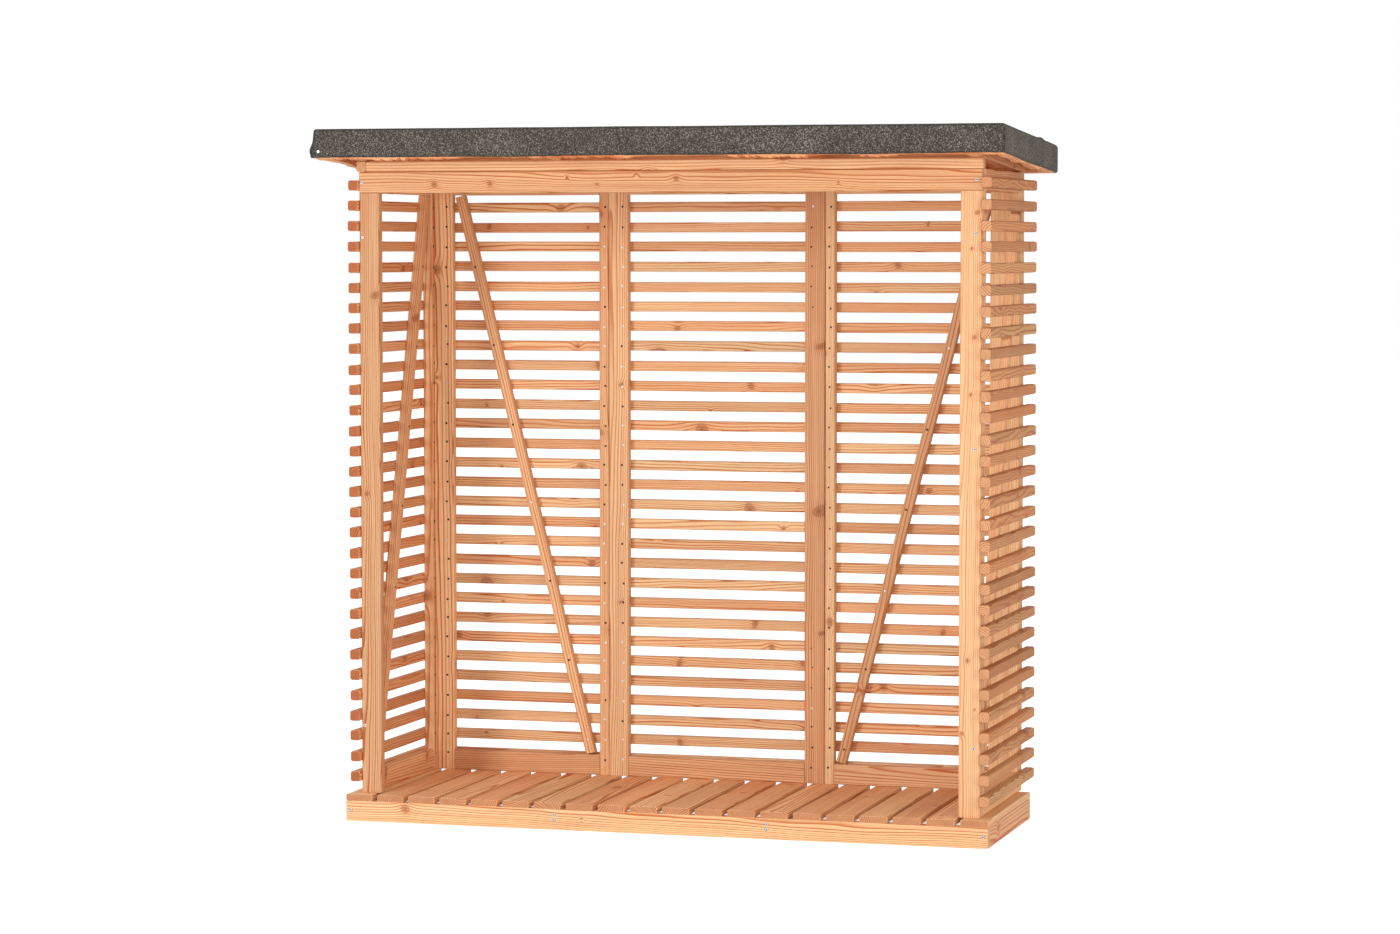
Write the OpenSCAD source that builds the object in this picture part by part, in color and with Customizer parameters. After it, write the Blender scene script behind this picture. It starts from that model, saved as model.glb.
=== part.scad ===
// Open-fronted garden log store: slatted side and back panels on a boarded base,
// under a felted pent roof that falls to the back. Millimetres, +Z up, front towards -Y.

/* [Timber] */
// Side of the square section used for slats, battens and braces
slat = 28; // [20:1:40]
// Wide side of the flat section used for posts, rails and beams
post_w = 58; // [40:1:90]
// Thickness of the flat section
post_t = 28; // [20:1:40]
// Radius on the long edges of every timber
edge_r = 4; // [2:0.5:6]

/* [Base] */
// Width of the base over the end bearers
base_w = 1800; // [1400:10:2200]
// Depth of the base from front beam to back beam
base_d = 560; // [450:5:700]
// Height of the base beams and bearers
base_h = 56; // [40:1:90]
// Distance of each inner bearer from the middle
inner_bearer_x = 298; // [200:1:400]
// Number of floor boards, front to back
floor_count = 20; // [12:1:26]
// Width of a floor board
floor_w = 75; // [50:1:90]
// Thickness of a floor board
floor_t = 18; // [14:1:28]

/* [Walls] */
// Height of the wall frames' upper ends above the ground
wall_top = 1781; // [1400:1:2200]
// Least height of the lowest slat above the floor
slat_low = 30; // [10:1:60]
// Height step from slat to slat
slat_pitch = 56; // [45:0.5:60]
// Height of the uppermost slat's upper side
slat_top = 1758; // [1380:1:2180]
// Setback of the side slats' outer face from the end of the base
wall_in = 3; // [0:1:20]
// Distance of the side slats' front ends behind the base front
slat_front = 27; // [10:1:60]
// Length of a side slat
slat_len = 604; // [500:1:800]
// Distance of the front posts' face behind the base front
post_front = 40; // [20:1:80]
// Distance of the back posts' face behind the base front
back_front = 551; // [440:1:680]
// Distance of the side panels' back posts behind the base front
side_back = 538; // [430:1:660]
// Distance of each back panel joint from the middle
joint_x = 316; // [220:1:420]

/* [Braces] */
// Lean of the left wall's brace from upright, in degrees
left_wall_lean = 14.4; // [8:0.1:22]
// Lean of the right wall's brace
right_wall_lean = 15.9; // [8:0.1:22]
// Lean of the back wall's left brace
back_left_lean = 13.8; // [8:0.1:22]
// Lean of the back wall's right brace
back_right_lean = 14.7; // [8:0.1:22]
// Distance of the right wall brace's upper end below the top rail
right_wall_drop = 56; // [0:1:120]
// Distance of the back right brace's upper end below the top rail
back_right_drop = 36; // [0:1:120]
// Gap between the left braces' upper ends and the uprights beside them
left_gap = 8; // [0:1:30]

/* [Front] */
// Height of the batten that carries the roof
batten_h = 28; // [20:1:50]
// How far the batten stands in front of the header
batten_out = 8; // [0:1:20]
// How far the batten runs past the header at each end
batten_over = 4; // [0:1:20]
// Length of the short block at the batten's left end
batten_block = 27; // [15:1:60]

/* [Roof] */
// Overhang of the roof past each end of the base
roof_side = 54; // [20:0.5:120]
// Overhang of the roof in front of the base
roof_front = 89; // [40:1:160]
// Overhang of the roof behind the base
roof_back = 77; // [20:1:160]
// Height of the roof's edge beams
edge_h = 57; // [40:1:90]
// Thickness of the roof boarding
board_t = 18; // [12:1:28]
// Number of roof boards, front to back
board_count = 6; // [4:1:10]
// Thickness of the felt
felt_t = 3; // [2:0.5:6]
// Height of timber left bare under the felt's lower edge
felt_bare = 1; // [0:1:20]
// Distance of each inner rafter from the middle
rafter_x = 298; // [200:1:400]
// Radius of the felt's outer edges
felt_r = 7; // [3.5:0.5:12]

/* [Hidden] */
$fn = 48;
// open joint between timbers that butt
butt_gap = 1;
// spare length that lets a cut pass right through
cut = 1;
total_d = roof_front + base_d + roof_back;
floor_z = base_h + floor_t;
wall_x = base_w / 2 - wall_in;
frame_x = wall_x - slat;
frame_in = frame_x - post_t;
header_z = wall_top - post_w;
side_post_y = post_front + post_t;
rail_y = side_post_y + slat;
back_slat_y = back_front + post_t;
butt_x = joint_x - post_w / 2;
corner_in = frame_in - post_w;
floor_pitch = (base_w - floor_w) / (floor_count - 1);
batten_y = post_front - batten_out;
batten_x = frame_x + batten_over;
batten_top = wall_top + batten_h;
last_row = floor((slat_top - slat - floor_z - slat_low) / slat_pitch);
// the roof rests on the batten's back edge and on the back posts' back edge
roof_tilt = atan((batten_top - wall_top) / (back_slat_y - batten_y - post_t));
roof_len = total_d / cos(roof_tilt);
roof_t = edge_h + board_t + felt_t;
roof_drop = (batten_y + post_t + roof_front) * tan(roof_tilt);
roof_w = base_w + 2 * roof_side;
timber_w = roof_w - 2 * felt_t;
timber_len = roof_len - 2 * felt_t;
board_pitch = (timber_len + butt_gap) / board_count;
// base front plane measured from the middle of the roof's plan
y0 = roof_front - (total_d + (roof_t - felt_r + felt_bare) * sin(roof_tilt)) / 2;

timber = [0.86, 0.58, 0.36];
timber_dark = [0.78, 0.48, 0.28];
felt_grey = [0.25, 0.24, 0.23];

// flat section with rounded corners, its lower left corner at the origin
module section(a, b, r) {
    translate([r, 0]) square([a - 2 * r, b]);
    translate([0, r]) square([a, b - 2 * r]);
    for (x = [r, a - r]) {
        for (y = [r, b - r]) {
            translate([x, y]) circle(r = r);
        }
    }
}

// timber along X
module along_x(x, y, z, len, depth, height) {
    translate([x, y, z]) rotate([90, 0, 90]) linear_extrude(len) section(depth, height, edge_r);
}

// timber along Y
module along_y(x, y, z, width, len, height) {
    translate([x, y + len, z]) rotate([90, 0, 0]) linear_extrude(len) section(width, height, edge_r);
}

// timber along Z
module along_z(x, y, z, width, depth, len) {
    translate([x, y, z]) linear_extrude(len) section(width, depth, edge_r);
}

module base_front_beam() {
    color(timber) along_x(-base_w / 2, y0, 0, base_w, post_t, base_h);
}

module base_back_beam() {
    color(timber) along_x(-base_w / 2, y0 + base_d - post_t, 0, base_w, post_t, base_h);
}

module bearer(x) {
    along_y(x, y0 + post_t, 0, post_t, base_d - 2 * post_t, base_h);
}

module base_left_bearer() {
    color(timber) bearer(-base_w / 2);
}

module base_right_bearer() {
    color(timber) bearer(base_w / 2 - post_t);
}

module base_inner_bearers() {
    color(timber_dark) {
        bearer(-inner_bearer_x - post_t / 2);
        bearer(inner_bearer_x - post_t / 2);
    }
}

module floor_boards() {
    color(timber) for (i = [0:floor_count - 1]) {
        along_y(-base_w / 2 + i * floor_pitch, y0, base_h, floor_w, base_d, floor_t);
    }
}

module front_left_post() {
    color(timber) along_z(-frame_x, y0 + post_front, floor_z, post_w, post_t, header_z - floor_z);
}

module front_right_post() {
    color(timber) along_z(frame_x - post_w, y0 + post_front, floor_z, post_w, post_t, header_z - floor_z);
}

// the right side panel's pieces; the left panel mirrors them
module side_front_post() {
    color(timber) along_z(frame_in, y0 + side_post_y, floor_z, post_t, slat, wall_top - floor_z);
}

module side_back_post() {
    color(timber) along_z(frame_in, y0 + side_back, floor_z, post_t, post_w, wall_top - floor_z);
}

module side_rail(z) {
    along_y(frame_in, y0 + rail_y, z, post_t, side_back - rail_y, post_w);
}

module side_top_rail() {
    color(timber) side_rail(header_z);
}

module side_bottom_rail() {
    color(timber) side_rail(floor_z);
}

module side_slats() {
    color(timber_dark) for (i = [0:last_row]) {
        along_y(frame_x, y0 + slat_front, slat_top - slat - i * slat_pitch, slat, slat_len, slat);
    }
}

// square-cut brace in a flat frame of the given width and height: its upper end stands a gap
// from the right side and a drop below the top, and it leans until it meets the left side or the bottom
module brace(width, height, lean, gap, drop) {
    across = width - gap - slat * cos(lean);
    up = height - drop - slat * sin(lean);
    len = min(across / sin(lean), up / cos(lean));
    translate([width - gap, up, 0]) rotate(-lean) along_y(-slat, -len, 0, slat, len, post_t);
}

module side_brace(lean, gap, drop) {
    color(timber) translate([frame_in, y0 + rail_y, floor_z + post_w]) rotate([90, 0, 90])
        brace(side_back - rail_y, header_z - floor_z - post_w, lean, gap, drop);
}

module left_wall_front_post() {
    mirror([1, 0, 0]) side_front_post();
}

module left_wall_back_post() {
    mirror([1, 0, 0]) side_back_post();
}

module left_wall_top_rail() {
    mirror([1, 0, 0]) side_top_rail();
}

module left_wall_bottom_rail() {
    mirror([1, 0, 0]) side_bottom_rail();
}

module left_wall_brace() {
    mirror([1, 0, 0]) side_brace(left_wall_lean, left_gap, 0);
}

module left_wall_slats() {
    mirror([1, 0, 0]) side_slats();
}

module right_wall_front_post() {
    side_front_post();
}

module right_wall_back_post() {
    side_back_post();
}

module right_wall_top_rail() {
    side_top_rail();
}

module right_wall_bottom_rail() {
    side_bottom_rail();
}

module right_wall_brace() {
    side_brace(right_wall_lean, 0, right_wall_drop);
}

module right_wall_slats() {
    side_slats();
}

module header_beam() {
    color(timber) along_x(-frame_x, y0 + post_front, header_z, 2 * frame_x, post_t, post_w);
}

module header_batten() {
    color(timber) {
        along_x(-batten_x, y0 + batten_y, wall_top, batten_block, post_t, batten_h);
        along_x(-batten_x + batten_block + butt_gap, y0 + batten_y, wall_top,
            2 * batten_x - batten_block - butt_gap, post_t, batten_h);
    }
}

module back_upright(x, width) {
    along_z(x, y0 + back_front, floor_z, width, post_t, wall_top - floor_z);
}

module back_left_corner_post() {
    color(timber) back_upright(-frame_in, post_w);
}

module back_right_corner_post() {
    color(timber) back_upright(corner_in, post_w);
}

module back_left_joint_batten() {
    color(timber_dark) back_upright(-joint_x - slat, slat);
}

module back_right_joint_batten() {
    color(timber_dark) back_upright(joint_x, slat);
}

module back_middle_left_post() {
    color(timber) back_upright(-joint_x, post_w);
}

module back_middle_right_post() {
    color(timber) back_upright(joint_x - post_w, post_w);
}

module back_rail(z) {
    outer = corner_in - joint_x - slat;
    inner = joint_x - post_w;
    along_x(-corner_in, y0 + back_front, z, outer, post_t, post_w);
    along_x(-inner, y0 + back_front, z, 2 * inner, post_t, post_w);
    along_x(joint_x + slat, y0 + back_front, z, outer, post_t, post_w);
}

module back_top_rails() {
    color(timber_dark) back_rail(header_z);
}

module back_bottom_rails() {
    color(timber_dark) back_rail(floor_z);
}

module back_brace(lean, gap, drop) {
    foot = joint_x + slat;
    color(timber) translate([foot, y0 + back_slat_y, floor_z + post_w]) rotate([90, 0, 0])
        brace(corner_in - foot, header_z - floor_z - post_w, lean, gap, drop);
}

module back_left_brace() {
    mirror([1, 0, 0]) back_brace(back_left_lean, left_gap, 0);
}

module back_right_brace() {
    back_brace(back_right_lean, 0, back_right_drop);
}

module back_row(x, len) {
    for (i = [0:last_row]) {
        along_x(x, y0 + back_slat_y, slat_top - slat - i * slat_pitch, len, slat, slat);
    }
}

module back_left_slats() {
    color(timber_dark) back_row(-frame_in, frame_in - butt_x - butt_gap);
}

module back_middle_slats() {
    color(timber_dark) back_row(-butt_x, 2 * butt_x);
}

module back_right_slats() {
    color(timber_dark) back_row(butt_x + butt_gap, frame_in - butt_x - butt_gap);
}

// sloping frame: origin at the front lower corner line, x across, y up the length, z square to the roof
module on_roof() {
    translate([0, y0 - roof_front, batten_top + roof_drop]) rotate([-roof_tilt, 0, 0]) children();
}

module roof_front_beam() {
    color(timber) on_roof() along_x(-timber_w / 2, felt_t, 0, timber_w, post_t, edge_h);
}

module roof_back_beam() {
    color(timber) on_roof()
        along_x(-timber_w / 2, felt_t + timber_len - post_t, 0, timber_w, post_t, edge_h);
}

module roof_stick(x) {
    along_y(x, felt_t + post_t, 0, post_t, timber_len - 2 * post_t, edge_h);
}

module roof_left_beam() {
    color(timber) on_roof() roof_stick(-timber_w / 2);
}

module roof_right_beam() {
    color(timber) on_roof() roof_stick(timber_w / 2 - post_t);
}

module roof_rafters() {
    color(timber_dark) on_roof() {
        for (x = [-frame_x, -rafter_x - post_t / 2, rafter_x - post_t / 2, frame_in]) {
            roof_stick(x);
        }
    }
}

module roof_boards() {
    color(timber_dark) on_roof() for (i = [0:board_count - 1]) {
        translate([-timber_w / 2, felt_t + i * board_pitch, edge_h])
            cube([timber_w, board_pitch - butt_gap, board_t]);
    }
}

// box with its upright edges and upper edges rounded
module felt_shape(w, d, h, r) {
    translate([0, r, 0]) cube([w, d - 2 * r, h - r]);
    translate([r, 0, 0]) cube([w - 2 * r, d, h - r]);
    translate([r, r, 0]) cube([w - 2 * r, d - 2 * r, h]);
    for (x = [r, w - r]) {
        translate([x, d - r, h - r]) rotate([90, 0, 0]) cylinder(r = r, h = d - 2 * r);
        for (y = [r, d - r]) {
            translate([x, y, 0]) cylinder(r = r, h = h - r);
            translate([x, y, h - r]) sphere(r = r);
        }
    }
    for (y = [r, d - r]) {
        translate([r, y, h - r]) rotate([0, 90, 0]) cylinder(r = r, h = w - 2 * r);
    }
}

module roof_felt() {
    color(felt_grey) on_roof() difference() {
        translate([-roof_w / 2, 0, felt_bare]) felt_shape(roof_w, roof_len, roof_t - felt_bare, felt_r);
        translate([-timber_w / 2, felt_t, -cut]) cube([timber_w, timber_len, edge_h + board_t + cut]);
    }
}

base_front_beam();
base_back_beam();
base_left_bearer();
base_right_bearer();
base_inner_bearers();
floor_boards();
front_left_post();
front_right_post();
left_wall_front_post();
left_wall_back_post();
left_wall_top_rail();
left_wall_bottom_rail();
left_wall_brace();
left_wall_slats();
right_wall_front_post();
right_wall_back_post();
right_wall_top_rail();
right_wall_bottom_rail();
right_wall_brace();
right_wall_slats();
header_beam();
header_batten();
back_left_corner_post();
back_right_corner_post();
back_left_joint_batten();
back_right_joint_batten();
back_middle_left_post();
back_middle_right_post();
back_top_rails();
back_bottom_rails();
back_left_brace();
back_right_brace();
back_left_slats();
back_middle_slats();
back_right_slats();
roof_front_beam();
roof_back_beam();
roof_left_beam();
roof_right_beam();
roof_rafters();
roof_boards();
roof_felt();
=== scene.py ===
"""Looks of the log store: planed softwood with rings, knots and end grain, screws, nails and mineral felt."""

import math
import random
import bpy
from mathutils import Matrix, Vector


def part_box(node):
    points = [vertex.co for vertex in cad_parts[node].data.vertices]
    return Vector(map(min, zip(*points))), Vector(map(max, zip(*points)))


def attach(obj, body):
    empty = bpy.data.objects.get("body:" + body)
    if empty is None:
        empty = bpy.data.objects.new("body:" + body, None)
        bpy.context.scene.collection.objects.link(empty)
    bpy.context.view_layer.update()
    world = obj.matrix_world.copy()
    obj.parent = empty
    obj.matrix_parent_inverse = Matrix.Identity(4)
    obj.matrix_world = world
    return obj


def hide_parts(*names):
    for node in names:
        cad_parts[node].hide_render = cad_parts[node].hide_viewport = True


bl_info = {
    "name": "Log Store",
    "version": (1, 0, 0),
    "blender": (4, 5, 0),
    "location": "3D View > Sidebar > Log Store",
    "description": "Dresses the log store's frame with sawn timber, fixings, roofing felt and a studio stage",
    "category": "Object",
}

from dataclasses import dataclass, field

import bpy
import numpy as np
from bpy.props import FloatProperty, FloatVectorProperty, PointerProperty
from mathutils import Euler, Matrix, Vector, noise

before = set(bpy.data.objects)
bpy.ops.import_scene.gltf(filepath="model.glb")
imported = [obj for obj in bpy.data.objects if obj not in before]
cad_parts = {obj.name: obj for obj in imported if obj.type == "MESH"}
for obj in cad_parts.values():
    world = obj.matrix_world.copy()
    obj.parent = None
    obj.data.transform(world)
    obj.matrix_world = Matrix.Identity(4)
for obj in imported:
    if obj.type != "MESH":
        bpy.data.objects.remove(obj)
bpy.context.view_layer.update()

BODY = "root"
IMAGE_WIDTH = 1400
SENSOR_WIDTH = 36.0
FRONT, BACK = (0.0, -1.0, 0.0), (0.0, 1.0, 0.0)
LEVEL = np.eye(3)

# how far a knot climbs for each metre away from the pith, how flat it is and its least radius
KNOT_LEAN = 0.25
KNOT_FLAT = 0.55
KNOT_LEAST = 0.0004

# how fast the figure of the wood changes, across the grain and along it
WANDER_PACE = (9.0, 1.7)
FIBRE_PACE = (700.0, 9.0)
STREAK_PACE = (130.0, 2.2)

# how far the rings wander, and the radii between which heartwood gives way to sapwood
RING_WANDER = 0.02
HEART_EDGE = (0.062, 0.03)

TIMBERS = {
    "base_timber": dict(contrast=1.1, redness=0.45),
    "frame_timber": dict(contrast=1.15, redness=0.45),
    "pale_timber": dict(contrast=0.75, redness=0.4),
    "cream_timber": dict(contrast=0.5, redness=0.08),
    "slat_timber": dict(contrast=1.15, redness=0.5, wild=1.4),
    "figured_slat_timber": dict(contrast=1.7, redness=0.45, wild=2.8, blue=0.82),
    "roof_timber": dict(contrast=1.0, redness=0.6),
}


def srgb(red, green, blue):
    """Linear colour of a display colour given in steps of 0 to 255."""
    steps = [c / 255 for c in (red, green, blue)]
    return tuple(c / 12.92 if c <= 0.04045 else ((c + 0.055) / 1.055) ** 2.4 for c in steps)


def length(label, words, metres):
    """A size that a user may change."""
    return FloatProperty(name=label, description=words, default=metres, unit="LENGTH", precision=4)


def angle(label, words, degrees):
    """An angle that a user may change."""
    return FloatProperty(name=label, description=words, default=math.radians(degrees), subtype="ANGLE")


def colour(label, words, red, green, blue):
    """A colour that a user may change."""
    default = srgb(red, green, blue)
    return FloatVectorProperty(
        name=label, description=words, subtype="COLOR", size=3, min=0, max=1, default=default
    )


class TimberLooks(bpy.types.PropertyGroup):
    """Sizes and colours of the timber."""

    edge_radius: length("Edge radius", "Rounding of the long edges", 0.0045)
    end_chamfer: length("End chamfer", "Bevel of the sawn ends", 0.001)
    station: length("Station", "Spacing of the cross-sections along a timber", 0.045)
    bow: length("Bow", "How far a timber is out of straight", 0.0012)
    ring: length("Ring width", "Growth of one year", 0.0062)
    early: colour("Earlywood", "Pale part of a growth ring", 252, 206, 158)
    sap: colour("Sapwood", "Yellower wood under the bark", 248, 212, 164)
    late: colour("Latewood", "Dark part of a growth ring", 197, 106, 50)
    heart: colour("Heartwood", "Redder wood towards the pith", 214, 122, 70)
    knot: colour("Knot", "Wood of a knot", 150, 78, 40)
    sawn: colour("Sawn end", "Rough end grain that has drunk more oil", 178, 92, 50)


class FeltLooks(bpy.types.PropertyGroup):
    """Sizes and colours of the roofing felt."""

    granule: length("Granule", "Size of the mineral chips", 0.0024)
    thickness: length("Thickness", "Thickness of the felt", 0.003)
    bend: length("Bend", "Radius of the turned-down edges", 0.008)
    wave: length("Wave", "How far the felt's lower edge runs out of line", 0.003)
    stand_off: length("Stand-off", "How far the loose left front corner stands off", 0.011)
    chip_dark: colour("Dark chip", "Dark mineral chips", 50, 47, 44)
    chip_mid: colour("Mid chip", "Most of the mineral chips", 91, 84, 77)
    chip_pale: colour("Pale chip", "Pale mineral chips", 182, 173, 164)
    bitumen: colour("Bitumen", "Bare bitumen along worn edges", 34, 31, 29)


class FixingLooks(bpy.types.PropertyGroup):
    """Sizes and colours of screws and nails."""

    screw_head: length("Screw head", "Diameter of a countersunk screw head", 0.0088)
    nail_head: length("Nail head", "Diameter of a nail head", 0.0064)
    clout_head: length("Clout head", "Diameter of a felt nail's head", 0.0085)
    zinc: colour("Zinc", "Bright zinc plating", 238, 238, 238)
    # painted shade: this dark colour stands for the shade in a screw head's recess and for a painted shadow
    # ring round the head
    recess: colour("Recess", "Shadowed recess of a screw head", 38, 36, 35)
    rust: colour("Dull steel", "Dull nail heads sunk in the wood", 70, 38, 22)


class StageLooks(bpy.types.PropertyGroup):
    """Camera and light."""

    camera_right: length("Camera right", "Camera's place to the right of the store's middle", 2.9529)
    camera_front: length("Camera front", "Camera's distance in front of the base", 9.7598)
    camera_height: length("Camera height", "Camera's height above the ground", 1.5776)
    yaw: angle("Yaw", "Turn of the camera to the left", 16.219)
    pitch: angle("Pitch", "Downward tilt of the camera", 3.303)
    focal: FloatProperty(name="Focal length", description="In pixels of the image", default=3822.4)
    floor: colour("Floor", "Pale studio floor", 236, 236, 236)


class LogStoreLooks(bpy.types.PropertyGroup):
    """All the looks of the log store."""

    timber: PointerProperty(type=TimberLooks)
    felt: PointerProperty(type=FeltLooks)
    fixing: PointerProperty(type=FixingLooks)
    stage: PointerProperty(type=StageLooks)


def looks():
    return bpy.context.scene.log_store


def arithmetic(operation):
    """An operator between a socket and another socket or a number, and its reflected form."""

    def plain(self, other):
        return self.graph.maths(operation, self, other)

    def reflected(self, other):
        return self.graph.maths(operation, other, self)

    return plain, reflected


class Value:
    """A socket that takes part in Python sums: each operator adds a Math node."""

    def __init__(self, graph, socket):
        self.graph = graph
        self.socket = socket

    __add__, __radd__ = arithmetic("ADD")
    __sub__, __rsub__ = arithmetic("SUBTRACT")
    __mul__, __rmul__ = arithmetic("MULTIPLY")
    __truediv__, __rtruediv__ = arithmetic("DIVIDE")
    __pow__, __rpow__ = arithmetic("POWER")


class Graph:
    """The node tree of one material or world, built by its one node method."""

    def __init__(self, tree):
        self.tree = tree
        tree.nodes.clear()

    def node(self, kind, settings=None, sockets=None, output=0):
        """Adds a node: its settings first, then the values or links of its sockets."""
        added = self.tree.nodes.new(kind)
        for name, value in (settings or {}).items():
            if name == "stops":
                self.stops(added.color_ramp, value)
            else:
                setattr(added, name, value)
        for name, value in (sockets or {}).items():
            if isinstance(value, Value):
                self.tree.links.new(value.socket, added.inputs[name])
            else:
                added.inputs[name].default_value = value
        return Value(self, added.outputs[output]) if added.outputs else None

    @staticmethod
    def stops(ramp, stops):
        while len(ramp.elements) < len(stops):
            ramp.elements.new(1.0)
        for element, (place, shade) in zip(ramp.elements, stops):
            element.position = place
            element.color = (*shade, 1.0)

    def maths(self, operation, *terms):
        return self.node("ShaderNodeMath", {"operation": operation}, dict(enumerate(terms)))

    def attribute(self, name, output="Vector"):
        return self.node("ShaderNodeAttribute", {"attribute_name": name}, {}, output)

    def parts(self, vector):
        split = self.node("ShaderNodeSeparateXYZ", {}, {"Vector": vector})
        return [Value(self, s) for s in split.socket.node.outputs]

    def vector(self, x, y, z):
        return self.node("ShaderNodeCombineXYZ", {}, {"X": x, "Y": y, "Z": z})

    def noise(self, vector, scale, detail, output="Fac"):
        sockets = {"Vector": vector, "Scale": scale, "Detail": detail}
        return self.node("ShaderNodeTexNoise", {}, sockets, output)

    def step(self, value, low, high):
        """Rises smoothly from 0 to 1 while value goes from low to high."""
        sockets = {"Value": value, "From Min": low, "From Max": high}
        return self.node("ShaderNodeMapRange", {"interpolation_type": "SMOOTHSTEP"}, sockets)

    def mix(self, factor, first, second, blend="MIX"):
        """Mixes two colours."""
        settings = {"data_type": "RGBA", "blend_type": blend}
        sockets = {0: factor, 6: self.opaque(first), 7: self.opaque(second)}
        return self.node("ShaderNodeMix", settings, sockets, 2)

    @staticmethod
    def opaque(shade):
        return shade if isinstance(shade, Value) else (*shade[:3], 1.0)

    def bump(self, height, strength, distance):
        sockets = {"Height": height, "Strength": strength, "Distance": distance}
        return self.node("ShaderNodeBump", {}, sockets, "Normal")

    def surface(self, sockets):
        shader = self.node("ShaderNodeBsdfPrincipled", {}, sockets, "BSDF")
        self.node("ShaderNodeOutputMaterial", {}, {"Surface": shader})


def new_material(name):
    material = bpy.data.materials.new(name)
    material.use_nodes = True
    return material, Graph(material.node_tree)


def timber_finish(name):
    """A timber's material, made when it is first asked for."""
    return bpy.data.materials.get(name) or timber_material(name, **TIMBERS[name])


def timber_material(name, contrast, redness, wild=1.0, blue=1.0):
    """Softwood cut from a trunk: rings about a pith, knots that grow out of it, fibres along it.

    contrast is the strength of the rings and redness the share of heartwood, wild is how fast the figure
    changes along the timber, and blue takes some blue out for a yellower tone.
    """
    material, g = new_material(name)
    wood = looks().timber
    across, deep, along = g.parts(g.attribute("grain"))
    seed = g.attribute("seed", "Fac")
    tone, red, growth = g.parts(g.attribute("board"))
    knot_place, knot_turn, knot_size = g.parts(g.attribute("knot"))
    end = g.attribute("end", "Fac")

    # the trunk isn't round or straight: its rings wander slowly
    pace, run = WANDER_PACE
    drift = g.vector(across * pace + seed, deep * pace, along * (run * wild))
    wander_a, wander_b, wander_c = g.parts(g.noise(drift, 1.0, 2.0, "Color"))
    ring_a = across + (wander_a - 0.5) * RING_WANDER
    ring_b = deep + (wander_b - 0.5) * RING_WANDER

    # a knot runs outwards from the pith and the rings bend round it
    turn_cos = g.maths("COSINE", knot_turn)
    turn_sin = g.maths("SINE", knot_turn)
    outward = across * turn_cos + deep * turn_sin
    sideways = deep * turn_cos - across * turn_sin
    upward = along - knot_place - outward * KNOT_LEAN
    knot_radius = g.maths("MAXIMUM", outward * knot_size, KNOT_LEAST)
    away = ((sideways * sideways + upward * upward * KNOT_FLAT) ** 0.5) / knot_radius
    near_knot = g.maths("EXPONENT", away * away * -0.16)
    in_knot = g.step(away, 1.2, 0.75)
    knot_core = g.step(away, 0.7, 0.1)
    knot_rim = g.step(away, 1.5, 1.1) - g.step(away, 1.05, 0.75)

    # a year starts pale and ends dark, some years more than others
    radius = (ring_a * ring_a + ring_b * ring_b) ** 0.5
    rings = radius / (growth * wood.ring) + near_knot * 1.1
    year = g.maths("FLOOR", rings)
    season = rings - year
    year_noise = g.node("ShaderNodeTexWhiteNoise", {"noise_dimensions": "1D"}, {"W": year + seed})
    late = g.step(season, 0.48, 0.93) * g.step(season, 1.0, 0.95)
    late = late * (year_noise * 0.7 + 0.45)

    pace, run = FIBRE_PACE
    fibre = g.noise(g.vector(across * pace, deep * pace, along * run + seed), 1.0, 3.0)
    pace, run = STREAK_PACE
    streak = g.noise(g.vector(across * pace + seed, deep * pace, along * run), 1.0, 2.0)

    # colours laid over each other, from the clear wood to the knots and the sawn ends
    pale = g.mix(g.step(red, 0.35, 0.0) * 0.75, wood.early, wood.sap)
    clear = g.mix(late * contrast, pale, wood.late)
    heart_edge = g.step(radius + (streak - 0.5) * RING_WANDER, *HEART_EDGE)
    heart_share = (red + heart_edge * 0.5) * redness
    warm = g.mix(heart_share, clear, g.mix(late * contrast * 0.6, wood.heart, wood.late))
    streaked = g.mix((streak - 0.5) * 0.9 + 0.08, warm, wood.late)
    fibred = g.mix(g.step(fibre, 0.52, 0.72) * 0.28, streaked, wood.late)
    swirl = g.mix(near_knot * 0.28, fibred, wood.late)
    knotted = g.mix(in_knot * 0.42 + knot_core * 0.3, swirl, wood.knot)
    rimmed = g.mix(knot_rim * 0.4, knotted, wood.knot)
    is_end = g.step(end, 0.0, 0.02)
    rough_end = g.mix(g.maths("MINIMUM", end, 1.0), wood.early, wood.sawn)
    ended = g.mix(is_end, rimmed, g.mix(late * 0.9, rough_end, wood.knot))
    shade = tone + (1.0 - tone) * is_end + (wander_c - 0.5) * 0.2 + (fibre - 0.5) * 0.1
    tint = {0: shade, 1: shade, 2: shade * (blue + (1.0 - blue) * is_end)}
    base = g.mix(1.0, ended, g.node("ShaderNodeCombineColor", {}, tint), "MULTIPLY")

    relief = late * 0.6 + fibre * 0.5 - in_knot * 0.3
    roughness = 0.62 - late * 0.12 + (fibre - 0.5) * 0.15 + end * 0.15
    normal = g.bump(relief, 0.35, 0.0007)
    g.surface({"Base Color": base, "Roughness": roughness, "Normal": normal, "Specular IOR Level": 0.2})
    return material


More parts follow.
